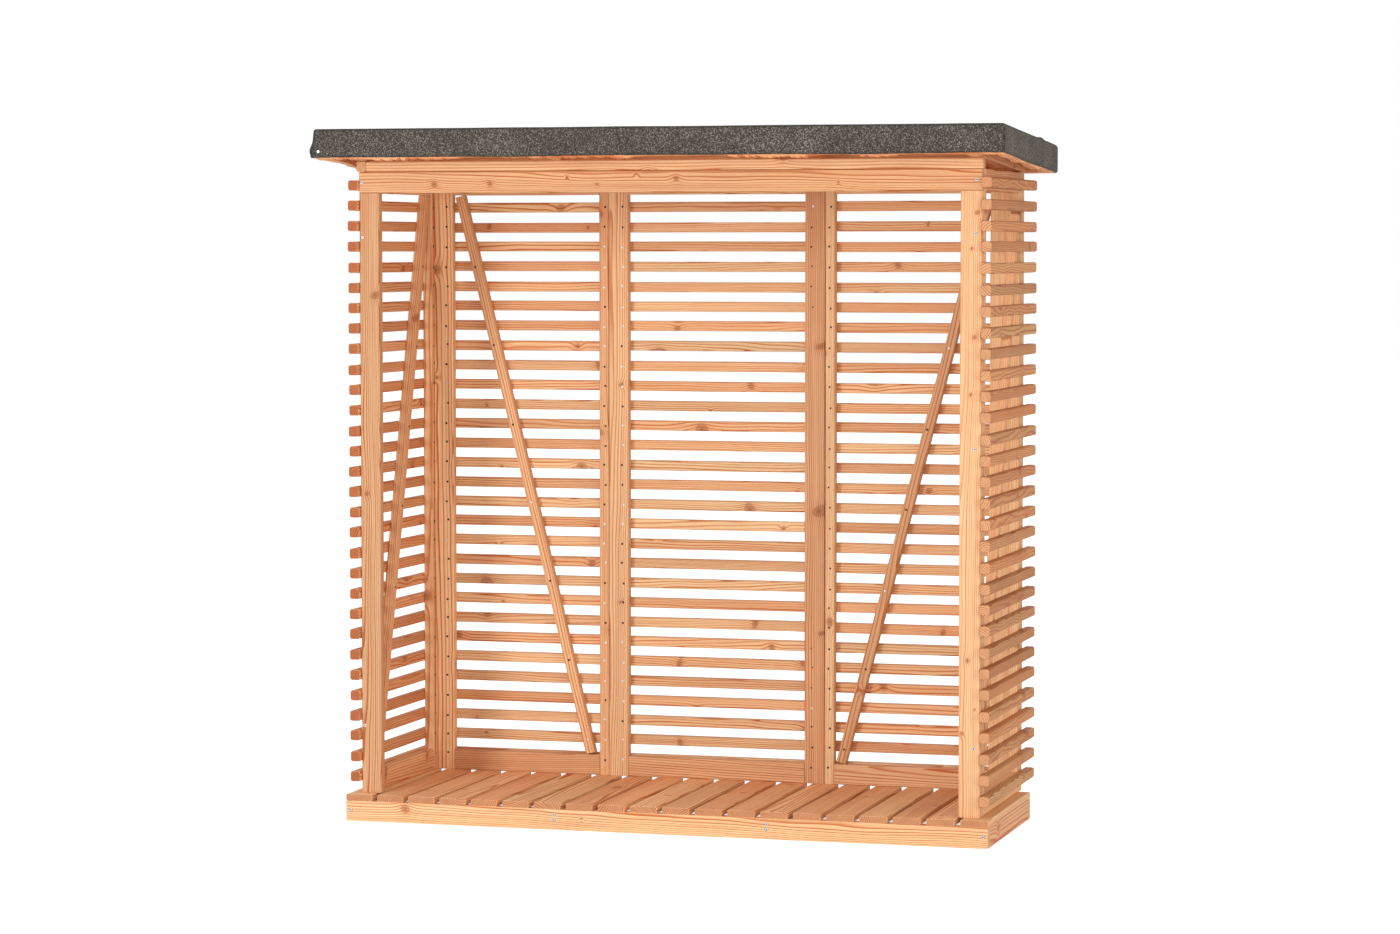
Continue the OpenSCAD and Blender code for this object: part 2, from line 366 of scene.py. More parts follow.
def felt_material():
    """Crushed mineral chips pressed into bitumen, worn along the folds."""
    material, g = new_material("mineral_felt")
    felt = looks().felt
    place = g.node("ShaderNodeTexCoord", {}, {}, "Object")
    worn = g.attribute("worn", "Fac")
    cells = {"Vector": place, "Scale": 1.0 / felt.granule}
    chips = g.node("ShaderNodeTexVoronoi", {}, cells, "Color")
    chip_tint, chip_lift, chip_skip = g.parts(chips)
    gap = g.node("ShaderNodeTexVoronoi", {}, cells, "Distance")
    patch = g.noise(place, 9.0, 3.0)
    stops = [(0.0, felt.chip_dark), (0.55, felt.chip_mid), (1.0, felt.chip_pale)]
    pick = chip_tint * 0.8 + (patch - 0.5) * 0.36
    chip = g.node("ShaderNodeValToRGB", {"stops": stops}, {"Fac": pick}, "Color")
    sunk = g.mix(g.step(gap, 0.45, 0.8) * 0.6, chip, felt.bitumen)
    bare = g.mix(worn * (0.55 + chip_skip * 0.4), sunk, felt.bitumen)
    roughness = 0.85 - worn * 0.15
    normal = g.bump(chip_lift - gap, 0.6, 0.0012)
    g.surface({"Base Color": bare, "Roughness": roughness, "Normal": normal, "Specular IOR Level": 0.3})
    return material


def metal_material(name, shade, metallic, rough):
    """Plated or dull steel with a mottled finish."""
    material, g = new_material(name)
    place = g.node("ShaderNodeTexCoord", {}, {}, "Object")
    mottle = g.noise(place, 900.0, 3.0)
    dark = tuple(c * 0.75 for c in shade)
    base = g.mix(g.step(mottle, 0.35, 0.7), dark, shade)
    roughness = rough + mottle * 0.2
    normal = g.bump(mottle, 0.3, 0.0002)
    g.surface({"Base Color": base, "Metallic": metallic, "Roughness": roughness, "Normal": normal})
    return material


def solid_points(node):
    """Corner points of each separate solid of a CAD node, in a steady order."""
    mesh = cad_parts[node].data
    points = np.array([v.co for v in mesh.vertices])
    keys = {}
    group = list(range(len(points)))

    def root(i):
        while group[i] != i:
            group[i] = group[group[i]]
            i = group[i]
        return i

    for i, point in enumerate(np.round(points, 6)):
        twin = keys.setdefault(tuple(point), i)
        group[root(i)] = root(twin)
    for edge in mesh.edges:
        group[root(edge.vertices[0])] = root(edge.vertices[1])
    solids = {}
    for i in range(len(points)):
        solids.setdefault(root(i), []).append(points[i])
    found = [np.array(s) for s in solids.values()]
    return sorted(found, key=lambda s: tuple(np.round(s.mean(0), 3)))


def corners(node, number=0):
    """Lowest and highest corner of one solid of a node."""
    points = solid_points(node)[number]
    return points.min(0), points.max(0)


def roof_basis():
    """Axes of the sloping roof: across, down the slope, square to it."""
    board = solid_points("roof_boards")[0]
    back = board[:, 1].max()
    front = board[:, 1].min()
    fall = board[board[:, 1] > back - 0.002][:, 2].max() - board[:, 2].max()
    slope = np.array([0.0, back - front, fall])
    slope /= np.linalg.norm(slope)
    return np.array([(1.0, 0.0, 0.0), slope, np.cross((1.0, 0.0, 0.0), slope)])


def felt_box():
    """The roof's axes, and the felt's lowest and highest corner along them."""
    basis = roof_basis()
    turned = solid_points("roof_felt")[0] @ basis.T
    return basis, turned.min(0), turned.max(0)


def brace_run(points):
    """Direction of a brace, upwards."""
    run = np.linalg.svd(points - points.mean(0))[2][0]
    return run if run[2] > 0 else -run


def brace_basis(node, normal):
    """Axes of a brace: the wall's normal, square to the brace, and along it."""
    run = brace_run(solid_points(node)[0])
    return np.array([normal, np.cross(run, normal), run])


def band(ring, around):
    """Faces between a ring of points, given by its first one, and the next ring."""
    sides = [(j, (j + 1) % around) for j in range(around)]
    return [(ring + j, ring + k, ring + around + k, ring + around + j) for j, k in sides]


@dataclass
class Piece:
    """Collects the timbers of one node and makes them one mesh."""

    # a timber whose knots are listed: distance and turn of its pith, width of its rings
    SHOWN_REACH = 0.05
    SHOWN_TURN = 0.8
    SHOWN_GROWTH = 0.6
    # any other timber: play of its pith's turn and distance, lean of the grain and width of its rings
    TURN_PLAY = 0.4
    REACH_PLAY = 0.045
    SLANT = 0.02
    GROWTH = (0.5, 1.1)
    # what sets one timber apart from the next: its seed, and its redness at the full spread of tones
    SEEDS = 90
    RED_PLAY = (-0.45, 0.4)
    FULL_SPREAD = 0.1
    # knots: where the first may be, the gaps between them, their spread for each metre from the pith, the
    # distance below which they are wider, and a place off the timber for a stretch that has none
    FIRST_KNOT = (0.02, 0.5)
    KNOT_GAP = (0.2, 0.7)
    KNOT_SPREADS = (0.04, 0.06, 0.08, 0.11)
    KNOT_REACH = 0.06
    NO_KNOT = -9.0
    CORNER_STEPS = 4
    TORN_STATION = 0.006
    LAYERS = {
        "grain": ("FLOAT_VECTOR", "POINT"),
        "seed": ("FLOAT", "POINT"),
        "board": ("FLOAT_VECTOR", "POINT"),
        "knot": ("FLOAT_VECTOR", "FACE"),
        "end": ("FLOAT", "FACE"),
    }

    node: str
    tone: float = 0.94
    spread: float = 0.05
    red: float = 0.25
    sawn: float = 0.3
    knots: float = 1.0
    edge: float = 1.0
    bow: float = 1.0
    pith: float = 0.055
    marks: dict = field(default_factory=dict)
    torn: float = 0.0

    def __post_init__(self):
        self.dice = random.Random(self.node)
        self.points = []
        self.faces = []
        self.layers = {name: [] for name in self.LAYERS}

    def profile(self, half_a, half_b, radius):
        """Rounded section, counter-clockwise."""
        steps = self.CORNER_STEPS
        outline = []
        for quarter, (sa, sb) in enumerate(((1, 1), (-1, 1), (-1, -1), (1, -1))):
            for i in range(steps + 1):
                turn = math.pi / 2 * (quarter + i / steps)
                a = sa * (half_a - radius) + radius * math.cos(turn)
                b = sb * (half_b - radius) + radius * math.sin(turn)
                outline.append((a, b))
        return outline

    def timber(self, low, high, basis, number):
        """Adds one timber that fills the box from low to high, given along the basis."""
        wood = looks().timber
        dice = self.dice
        span = high - low
        axis = int(np.argmax(span))
        cross = [(axis + 1) % 3, (axis + 2) % 3]
        half_a, half_b = span[cross[0]] / 2, span[cross[1]] / 2
        total = span[axis]
        middle = (low + high) / 2
        radius = min(wood.edge_radius * self.edge, half_a * 0.45, half_b * 0.45)
        chamfer = wood.end_chamfer
        count = max(2, int(total / (self.TORN_STATION if self.torn else wood.station)))
        stations = [-total / 2]
        stations += list(np.linspace(-total / 2 + chamfer, total / 2 - chamfer, count + 1))
        stations += [total / 2]

        flat = dice.randrange(4) * math.pi / 2 + math.pi / 4 + dice.uniform(-self.TURN_PLAY, self.TURN_PLAY)
        reach = self.pith + dice.uniform(0.0, self.REACH_PLAY)
        shown = self.marks.get(number)
        if shown:
            flat = (math.pi if axis == 0 else -math.pi / 2) + self.SHOWN_TURN
            reach = self.SHOWN_REACH
        pith = np.array([math.cos(flat), math.sin(flat)]) * reach
        slant = np.array([dice.uniform(-self.SLANT, self.SLANT) for _ in range(2)])
        bow = [dice.uniform(-1, 1) * wood.bow * self.bow * min(1.0, total) for _ in range(2)]
        seed = dice.uniform(0, self.SEEDS)
        board = (
            self.tone + dice.uniform(-1, 1) * self.spread,
            min(1.0, max(0.0, self.red + dice.uniform(*self.RED_PLAY) * self.spread / self.FULL_SPREAD)),
            self.SHOWN_GROWTH if shown else dice.uniform(*self.GROWTH),
        )
        knots = self.knot_list(total, flat, reach)
        if shown:
            half = (half_a, half_b)
            knots = knots[:1] + [self.shown_knot(m, middle, axis, cross, half, pith, slant) for m in shown]
        outline = self.profile(half_a, half_b, radius)
        around = len(outline)
        base = len(self.points)
        for i, w in enumerate(stations):
            closing = i in (0, len(stations) - 1)
            arch = 1 - (2 * w / total) ** 2
            for a, b in outline:
                if closing:
                    a -= math.copysign(min(chamfer, abs(a)), a)
                    b -= math.copysign(min(chamfer, abs(b)), b)
                local = np.zeros(3)
                local[cross[0]] = a + bow[0] * arch
                local[cross[1]] = b + bow[1] * arch
                local[axis] = w
                if self.torn:
                    local[2] += self.tear(local[2], span[2] / 2, radius, w, seed)
                self.points.append((middle + local) @ basis)
                grain = (a + pith[0] + slant[0] * w, b + pith[1] + slant[1] * w, w)
                self.layers["grain"].append(grain)
                self.layers["seed"].append(seed)
                self.layers["board"].append(board)
        for i in range(len(stations) - 1):
            knot = min(knots, key=lambda k: abs(k[0] - (stations[i] + stations[i + 1]) / 2))
            for face in band(base + i * around, around):
                self.face(face, knot, 0.0)
        last = base + (len(stations) - 1) * around
        self.face(tuple(base + j for j in reversed(range(around))), knots[0], self.sawn)
        self.face(tuple(last + j for j in range(around)), knots[-1], self.sawn)

    def knot_list(self, total, flat, reach):
        """Knots along a timber: place, turn about the pith and spread, wider where the pith is near."""
        wider = max(1.0, self.KNOT_REACH / reach)
        knots = [(self.NO_KNOT, flat, 0.0)]
        place = -total / 2 + self.dice.uniform(*self.FIRST_KNOT)
        while place < total / 2:
            if self.dice.random() < self.knots:
                turn = flat + self.dice.uniform(-self.TURN_PLAY, self.TURN_PLAY)
                knots.append((place, turn, wider * self.dice.choice(self.KNOT_SPREADS)))
            place += self.dice.uniform(*self.KNOT_GAP)
        return knots

    def tear(self, height, half, radius, w, seed):
        """Splinters: a positive torn makes the lower edge hang down, a negative one loses the upper edge."""
        side = -1 if self.torn > 0 else 1
        if height * side < half - radius * 1.01:
            return 0.0
        stretch = max(0.0, 0.15 + noise.noise(Vector((w * 7.0, seed, 0.0))))
        splinter = 0.6 + noise.noise(Vector((w * 90.0, seed, 5.0)))
        return -abs(self.torn) * min(1.0, stretch * 2.5) * max(0.0, splinter)

    @staticmethod
    def shown_knot(mark, middle, axis, cross, half, pith, slant):
        """A knot that comes out on the front face at a given place along the timber and across it."""
        along, aside, radius = mark
        front = cross.index(1)
        spot = np.zeros(2)
        spot[front] = -half[front]
        spot[1 - front] = aside - middle[cross[1 - front]]
        place = along - middle[axis]
        spot += pith + slant * place
        outward = math.hypot(*spot)
        return place - outward * KNOT_LEAN, math.atan2(spot[1], spot[0]), radius / outward

    def face(self, points, knot, end):
        self.faces.append(points)
        self.layers["knot"].append(knot)
        self.layers["end"].append(end)

    def build(self, material, slot):
        """Makes the mesh, gives it its layers and lets it stand for its node."""
        mesh = bpy.data.meshes.new(self.node + "_timber")
        mesh.from_pydata([tuple(p) for p in self.points], [], self.faces)
        for name, (kind, domain) in self.LAYERS.items():
            layer = mesh.attributes.new(name, kind, domain)
            entry = "vector" if kind == "FLOAT_VECTOR" else "value"
            layer.data.foreach_set(entry, np.array(self.layers[name], np.float32).ravel())
        mesh.materials.append(material)
        even_normals(finish_piece(mesh, slot, self.node))


def finish_piece(mesh, slot, *nodes):
    """Links a mesh as a piece that rides on the store and stands for its CAD nodes."""
    mesh.update()
    piece = bpy.data.objects.new(mesh.name, mesh)
    bpy.context.scene.collection.objects.link(piece)
    mesh.shade_smooth()
    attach(piece, BODY)
    if nodes:
        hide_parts(*nodes)
    return piece


def even_normals(piece):
    """Shades flat faces flat and rounded edges round."""
    soften = piece.modifiers.new("even_normals", "WEIGHTED_NORMAL")
    soften.weight = 80


def lay_timbers(node, finish, slot, basis=LEVEL, play=(0.0, 0.0, 0.0), **tones):
    """Dresses every solid of a node as a timber, nailed with a little play along each axis."""
    piece = Piece(node, **tones)
    for number, points in enumerate(solid_points(node)):
        turned = points @ basis.T
        shift = np.array([piece.dice.uniform(-1, 1) * reach for reach in play])
        piece.timber(turned.min(0) + shift, turned.max(0) + shift, basis, number)
    piece.build(timber_finish(finish), slot)


def lay_frame(node, finish="frame_timber", **tones):
    """Dresses a post, rail, batten or brace."""
    lay_timbers(node, finish, "frame_wood", **tones)


class LOGSTORE_OT_base(bpy.types.Operator):
    """Base beams, bearers and floor boards"""

    bl_idname = "log_store.base"
    bl_label = "Base and floor"

    KNOTS = ((-0.727, 0.04, 0.0075), (-0.22, 0.033, 0.002))

    def execute(self, context):
        front = dict(tone=1.06, spread=0.0, red=0.1, marks={0: self.KNOTS})
        for node, shades in (
            ("base_front_beam", front),
            ("base_back_beam", {}),
            ("base_left_bearer", {}),
            ("base_right_bearer", dict(tone=0.92, red=0.4)),
            ("base_inner_bearers", {}),
        ):
            lay_timbers(node, "base_timber", "base_wood", edge=0.5, bow=0.0, **shades)
        boards = dict(tone=1.06, spread=0.09, red=0.2, knots=0.7, sawn=0.6, edge=0.6)
        lay_timbers("floor_boards", "base_timber", "base_wood", **boards)
        return {"FINISHED"}


class LOGSTORE_OT_front(bpy.types.Operator):
    """Front posts, header and the batten under the roof"""

    bl_idname = "log_store.front"
    bl_label = "Front frame"

    # knots that show: place along the timber, place across it and radius
    LEFT_KNOTS = ((1.444, -0.824, 0.006), (0.9, -0.85, 0.004))
    RIGHT_KNOTS = (
        (1.666, 0.856, 0.0038), (1.572, 0.842, 0.0025), (1.34, 0.85, 0.0035), (1.19, 0.841, 0.003),
        (0.49, 0.835, 0.004), (0.361, 0.854, 0.002), (0.297, 0.82, 0.0035),
    )
    HEADER_KNOTS = (
        (-0.65, 1.747, 0.005), (-0.49, 1.748, 0.0045), (-0.27, 1.765, 0.002), (-0.186, 1.745, 0.0025),
        (-0.075, 1.772, 0.0025), (0.036, 1.76, 0.0045), (0.482, 1.748, 0.0022),
    )

    def execute(self, context):
        for node, finish, tone, red, knots in (
            ("front_left_post", "frame_timber", 0.77, 0.32, self.LEFT_KNOTS),
            ("front_right_post", "pale_timber", 1.0, 0.2, self.RIGHT_KNOTS),
            ("header_beam", "frame_timber", 0.88, 0.3, self.HEADER_KNOTS),
            ("header_batten", "frame_timber", 1.0, 0.12, ()),
        ):
            lay_frame(node, finish, tone=tone, spread=0.0, red=red, marks={0: knots})
        return {"FINISHED"}


class LOGSTORE_OT_side_walls(bpy.types.Operator):
    """Slatted side panels with their posts, rails and braces"""

    bl_idname = "log_store.side_walls"
    bl_label = "Side walls"

    PLAY = (0.0, 0.003, 0.0015)
    TOP_TORN = -0.004

    def execute(self, context):
        for side, outward, finish in (("left", -1, "frame_timber"), ("right", 1, "cream_timber")):
            for part in ("front_post", "back_post", "bottom_rail"):
                lay_frame(f"{side}_wall_{part}", finish, tone=1.02, red=0.05)
            lay_frame(f"{side}_wall_top_rail", tone=1.02, red=0.15, torn=self.TOP_TORN)
            brace = f"{side}_wall_brace"
            lay_frame(brace, finish, basis=brace_basis(brace, (outward, 0, 0)))
        left = dict(tone=0.93, spread=0.09, red=0.65, sawn=0.9, edge=1.2)
        lay_timbers("left_wall_slats", "slat_timber", "slat_wood", play=self.PLAY, **left)
        right = dict(tone=0.76, spread=0.1, red=0.9, sawn=0.45, edge=1.3, pith=0.012)
        lay_timbers("right_wall_slats", "figured_slat_timber", "slat_wood", play=self.PLAY, **right)
        return {"FINISHED"}


class LOGSTORE_OT_back_wall(bpy.types.Operator):
    """Three slatted back panels with their posts, battens, rails and braces"""

    bl_idname = "log_store.back_wall"
    bl_label = "Back wall"

    PLAY = (0.0, 0.0, 0.0015)
    MARKED_ROW = 25
    KNOTS = ((0.517, 1.527, 0.006),)

    def execute(self, context):
        for part, finish, tone, red in (
            ("left_corner_post", "frame_timber", 1.06, 0.0),
            ("right_corner_post", "cream_timber", 1.0, 0.0),
            ("left_joint_batten", "frame_timber", 0.91, 0.3),
            ("right_joint_batten", "cream_timber", 0.92, 0.0),
            ("middle_left_post", "frame_timber", 0.93, 0.1),
            ("middle_right_post", "frame_timber", 0.83, 0.5),
        ):
            lay_frame(f"back_{part}", finish, tone=tone, spread=0.0, red=red)
        lay_frame("back_top_rails")
        lay_frame("back_bottom_rails", tone=0.88, red=0.4)
        for side, tone, red in (("left", 0.97, 0.2), ("right", 0.79, 0.5)):
            brace = f"back_{side}_brace"
            lay_frame(brace, basis=brace_basis(brace, BACK), tone=tone, spread=0.0, red=red)
        for panel in ("left", "middle", "right"):
            shades = dict(tone=0.94, spread=0.08, red=0.25)
            if panel == "right":
                shades["marks"] = {self.MARKED_ROW: self.KNOTS}
            lay_timbers(f"back_{panel}_slats", "slat_timber", "slat_wood", play=self.PLAY, **shades)
        return {"FINISHED"}


class LOGSTORE_OT_roof(bpy.types.Operator):
    """Roof beams, rafters and boards"""

    bl_idname = "log_store.roof"
    bl_label = "Roof timbers"

    TORN = 0.008

    def execute(self, context):
        timber = dict(finish="roof_timber", slot="roof_wood", basis=roof_basis(), tone=1.06)
        for part in ("front_beam", "back_beam", "left_beam", "right_beam"):
            lay_timbers(f"roof_{part}", red=0.55, torn=self.TORN, **timber)
        for part in ("rafters", "boards"):
            lay_timbers(f"roof_{part}", red=0.5, **timber)
        return {"FINISHED"}


class FeltSheet:
    """One sheet of felt laid over the roof, turned down on all sides and folded at the corners."""

    CELL = 0.012
    BEND_STEPS = 6
    SKIRT_STEPS = 9
    CORNER_STEPS = 8
    CORNER_ROUND = 0.024
    TOP_DROP = 0.0018
    FOLD_DEPTH = 0.0014
    UNEVEN = 0.0007
    # a small ruck near the right end: how far in from the right and the back, its size and its height
    RUCK_IN = (0.01, 0.22)
    RUCK_SIZE = (0.03, 0.025)
    RUCK_HEIGHT = 0.004
    # how far the turned-down edge hangs loose, and how far back the loose corner goes
    LOOSE = 0.0012
    LOOSE_CORNER = 0.12

    def __init__(self, low, high):
        felt = looks().felt
        self.low, self.high = low, high
        self.radius = felt.bend
        self.wave = felt.wave
        self.points = []
        self.worn = []
        self.faces = []

    def add(self, x, y, z, worn):
        self.points.append((x, y, z))
        self.worn.append(worn)
        return len(self.points) - 1

    def ripple(self, x, y, z, scale):
        return noise.noise(Vector((x, y, z)) * scale)

    def top(self):
        """Flat upper side, slightly uneven over the boards; returns its rim as points with outward turns."""
        r = self.radius
        xs, ys = (
            np.linspace(low + r, high - r, int((high - low) / self.CELL))
            for low, high in zip(self.low[:2], self.high[:2])
        )
        grid = [[self.add(x, y, self.level(x, y), 0.0) for x in xs] for y in ys]
        for j in range(len(ys) - 1):
            for i in range(len(xs) - 1):
                self.faces.append((grid[j][i], grid[j][i + 1], grid[j + 1][i + 1], grid[j + 1][i]))
        columns = list(zip(*grid))
        sides = ((grid[0], -0.5), (columns[-1], 0.0), (grid[-1][::-1], 0.5), (columns[0][::-1], 1.0))
        rim = []
        for side, turn in sides:
            rim += [(index, turn * math.pi, 0.0) for index in side]
            for k in range(1, self.CORNER_STEPS):
                share = k / self.CORNER_STEPS
                rim.append((side[-1], (turn + 0.5 * share) * math.pi, 1 - abs(2 * share - 1)))
        return rim

    def level(self, x, y):
        """Height of the upper side: soft waves, with a small ruck near the right end."""
        ruck_x = (x - self.high[0] + self.RUCK_IN[0]) / self.RUCK_SIZE[0]
        ruck_y = (y - self.high[1] + self.RUCK_IN[1]) / self.RUCK_SIZE[1]
        ruck = math.exp(-(ruck_x**2) - ruck_y**2) * self.RUCK_HEIGHT
        waves = self.ripple(x, y, 0.0, 5.0) * self.UNEVEN
        return self.high[2] + waves + ruck - min(self.TOP_DROP, self.rounding(x, y))

    def rounding(self, x, y):
        """How far the felt is rounded off at the right back corner."""
        near = max(0.0, 1 - (self.high[1] - y) / self.CORNER_ROUND)
        aside = math.exp(-(((self.high[0] - x) / 0.06) ** 2))
        return self.CORNER_ROUND * (1 - math.sqrt(1 - near * near)) * aside

    def skirt(self, rim):
        """Turned-down edge below each rim point."""
        columns = []
        for index, turn, fold in rim:
            x, y, z = self.points[index]
            out_x, out_y = math.cos(turn), math.sin(turn)
            column = [index]
            for k in range(1, self.BEND_STEPS + 1):
                bend = math.pi / 2 * k / self.BEND_STEPS
                reach = self.radius * math.sin(bend) - fold * self.FOLD_DEPTH * k / self.BEND_STEPS
                drop = self.radius * (1 - math.cos(bend))
                rub = math.sin(2 * bend) * 0.8
                column.append(self.add(x + out_x * reach, y + out_y * reach, z - drop, rub))
            hem = self.low[2] + self.hem(x, y) + self.rounding(x, y)
            start = z - self.radius
            for k in range(1, self.SKIRT_STEPS + 1):
                share = k / self.SKIRT_STEPS
                height = start + (hem - start) * share
                reach = self.radius + self.bulge(x, y, out_x, share, height) - fold * self.FOLD_DEPTH
                rub = max(min(1.0, fold * 1.3), 0.7 if k == self.SKIRT_STEPS else 0.0)
                column.append(self.add(x + out_x * reach, y + out_y * reach, height, rub))
            columns.append(column)
        for i, column in enumerate(columns):
            after = columns[(i + 1) % len(columns)]
            for k in range(len(column) - 1):
                face = (column[k], column[k + 1], after[k + 1], after[k])
                if face[0] == face[3]:
                    face = face[:3]
                self.faces.append(face)

    def hem(self, x, y):
        """How far the cut edge runs out of line."""
        slow = self.ripple(x, y, 3.0, 4.0) * self.wave
        ragged = self.ripple(x, y, 7.0, 70.0) * self.wave * 0.35
        return slow + ragged

    def bulge(self, x, y, out_x, share, height):
        """How far the skirt stands off: a little everywhere, most at the left front corner."""
        loose = (0.5 + self.ripple(x, y, height, 9.0)) * self.LOOSE * share
        near_front = math.exp(-(((y - self.low[1]) / self.LOOSE_CORNER) ** 2))
        swell = 0.35 * share + 0.65 * math.exp(-(((share - 0.72) / 0.22) ** 2))
        return loose + max(0.0, -out_x) * near_front * swell * looks().felt.stand_off

    def build(self, basis, material):
        self.skirt(self.top())
        mesh = bpy.data.meshes.new("roof_felt_sheet")
        mesh.from_pydata([tuple(np.array(p) @ basis) for p in self.points], [], self.faces)
        layer = mesh.attributes.new("worn", "FLOAT", "POINT")
        layer.data.foreach_set("value", np.array(self.worn, np.float32))
        mesh.materials.append(material)
        piece = finish_piece(mesh, "felt", "roof_felt")
        thick = piece.modifiers.new("thickness", "SOLIDIFY")
        thick.thickness = looks().felt.thickness
        thick.offset = -1.0


class LOGSTORE_OT_felt(bpy.types.Operator):
    """Mineral felt over the roof and down its edges"""

    bl_idname = "log_store.felt"
    bl_label = "Roofing felt"

    def execute(self, context):
        basis, low, high = felt_box()
        FeltSheet(low, high).build(basis, felt_material())
        return {"FINISHED"}


class Fixings:
    """Collects screw and nail heads into one mesh."""

    SIDES = 14
    SUNK = -0.002

    def __init__(self, name):
        self.name = name
        self.points = []
        self.faces = []
        self.finish = []

    def head(self, place, normal, rings, finish):
        """Round head about its normal: rings of radius and height with their finish, the last one closed."""
        place, normal = Vector(place), Vector(normal)
        side = normal.orthogonal().normalized()
        other = normal.cross(side)
        base = len(self.points)
        for radius, height in rings:
            for k in range(self.SIDES):
                turn = 2 * math.pi * k / self.SIDES
                spoke = side * math.cos(turn) + other * math.sin(turn)
                self.points.append(place + spoke * radius + normal * height)
        for i in range(len(rings) - 1):
            self.faces += band(base + i * self.SIDES, self.SIDES)
            self.finish += [finish[i]] * self.SIDES
        last = base + (len(rings) - 1) * self.SIDES
        self.faces.append(tuple(last + k for k in range(self.SIDES)))
        self.finish.append(finish[-1])

    def screw(self, place, normal):
        """Countersunk head with a driven recess. The recess and a ring round the head take the dark recess
        finish: painted shade in the recess, and a ring that is partly painted shadow and partly the crushed
        wood round the head.
        """
        r = looks().fixing.screw_head / 2
        # finish 1 on the rim and in the recess: a painted shadow ring round the head and painted shade in the
        # recess
        rim = ((r * 1.18, self.SUNK), (r * 1.18, 0.0002), (r, 0.0003))
        face = ((r * 0.86, 0.0009), (r * 0.5, 0.0009), (r * 0.42, 0.0002))
        self.head(place, normal, rim + face, (1, 1, 0, 0, 1, 1))

    def nail(self, place, normal, bright):
        """Small head driven flush."""
        r = looks().fixing.nail_head / 2
        rings = ((r, self.SUNK), (r, 0.0001), (r * 0.7, 0.0006))
        self.head(place, normal, rings, (0 if bright else 1,) * 3)

    def clout(self, place, normal):
        """Broad flat felt nail."""
        r = looks().fixing.clout_head / 2
        rings = ((r, self.SUNK), (r, 0.0004), (r * 0.8, 0.001))
        self.head(place, normal, rings, (0, 0, 0))

    def build(self, materials, slot):
        mesh = bpy.data.meshes.new(self.name)
        mesh.from_pydata([tuple(p) for p in self.points], [], self.faces)
        for material in materials:
            mesh.materials.append(material)
        mesh.polygons.foreach_set("material_index", np.array(self.finish, np.int32))
        even_normals(finish_piece(mesh, slot))


class LOGSTORE_OT_screws(bpy.types.Operator):
    """Screws in the front frame and base, and the felt's nail"""

    bl_idname = "log_store.screws"
    bl_label = "Screws"

    # screws of the front frame: how far in from a timber's edge, and their heights on the posts
    HEADER_IN = (0.007, 0.014)
    LEFT_IN = 0.0098
    LEFT_HEIGHTS = (0.26, 1.602)
    RIGHT_IN = 0.017
    RIGHT_HEIGHTS = (0.258, 1.046, 1.61)
    # screws of the base beams: how far in from the ends, and how far above the middle
    BEAM_IN = 0.014
    BEAM_LIFT = 0.003
    PAIR_GAP = 0.014
    PAIR_LIFT = 0.006
    # the felt's nail, from the felt's lowest corner along the roof's axes
    FELT_NAIL = (0.018, -0.0012, 0.016)

    def execute(self, context):
        fixing = looks().fixing
        screws = Fixings("front_screws")
        low, high = corners("header_beam")
        for x in (low[0] + self.HEADER_IN[0], high[0] - self.HEADER_IN[1]):
            screws.screw((x, low[1], (low[2] + high[2]) / 2), FRONT)
        low, high = corners("front_left_post")
        for z in self.LEFT_HEIGHTS:
            screws.screw((low[0] + self.LEFT_IN, low[1], z), FRONT)
        low, high = corners("front_right_post")
        for z in self.RIGHT_HEIGHTS:
            screws.screw((high[0] - self.RIGHT_IN, low[1], z), FRONT)
        self.beam_screws(screws, "base_front_beam", FRONT, self.PAIR_LIFT)
        self.beam_screws(screws, "base_back_beam", BACK, 0.0)
        basis, low, high = felt_box()
        screws.clout((low + self.FELT_NAIL) @ basis, -basis[1])
        zinc = metal_material("zinc_plate", fixing.zinc, 0.35, 0.35)
        # the dark recess finish is painted shade: in each screw's recess, and as a painted shadow ring round
        # each head
        recess = metal_material("screw_painted_shade", fixing.recess, 0.4, 0.5)
        screws.build((zinc, recess), "frame_wood")
        return {"FINISHED"}

    def beam_screws(self, screws, node, normal, lift):
        """One screw near each end of a base beam, and a pair into each inner bearer."""
        low, high = corners(node)
        face = low[1] if normal == FRONT else high[1]
        half = (low[2] + high[2]) / 2
        for x in (low[0] + self.BEAM_IN, high[0] - self.BEAM_IN):
            screws.screw((x, face, half + self.BEAM_LIFT), normal)
        for number in (0, 1):
            first, last = corners("base_inner_bearers", number)
            for z in (half + self.PAIR_GAP / 2, half - self.PAIR_GAP / 2):
                screws.screw(((first[0] + last[0]) / 2, face, z + lift), normal)


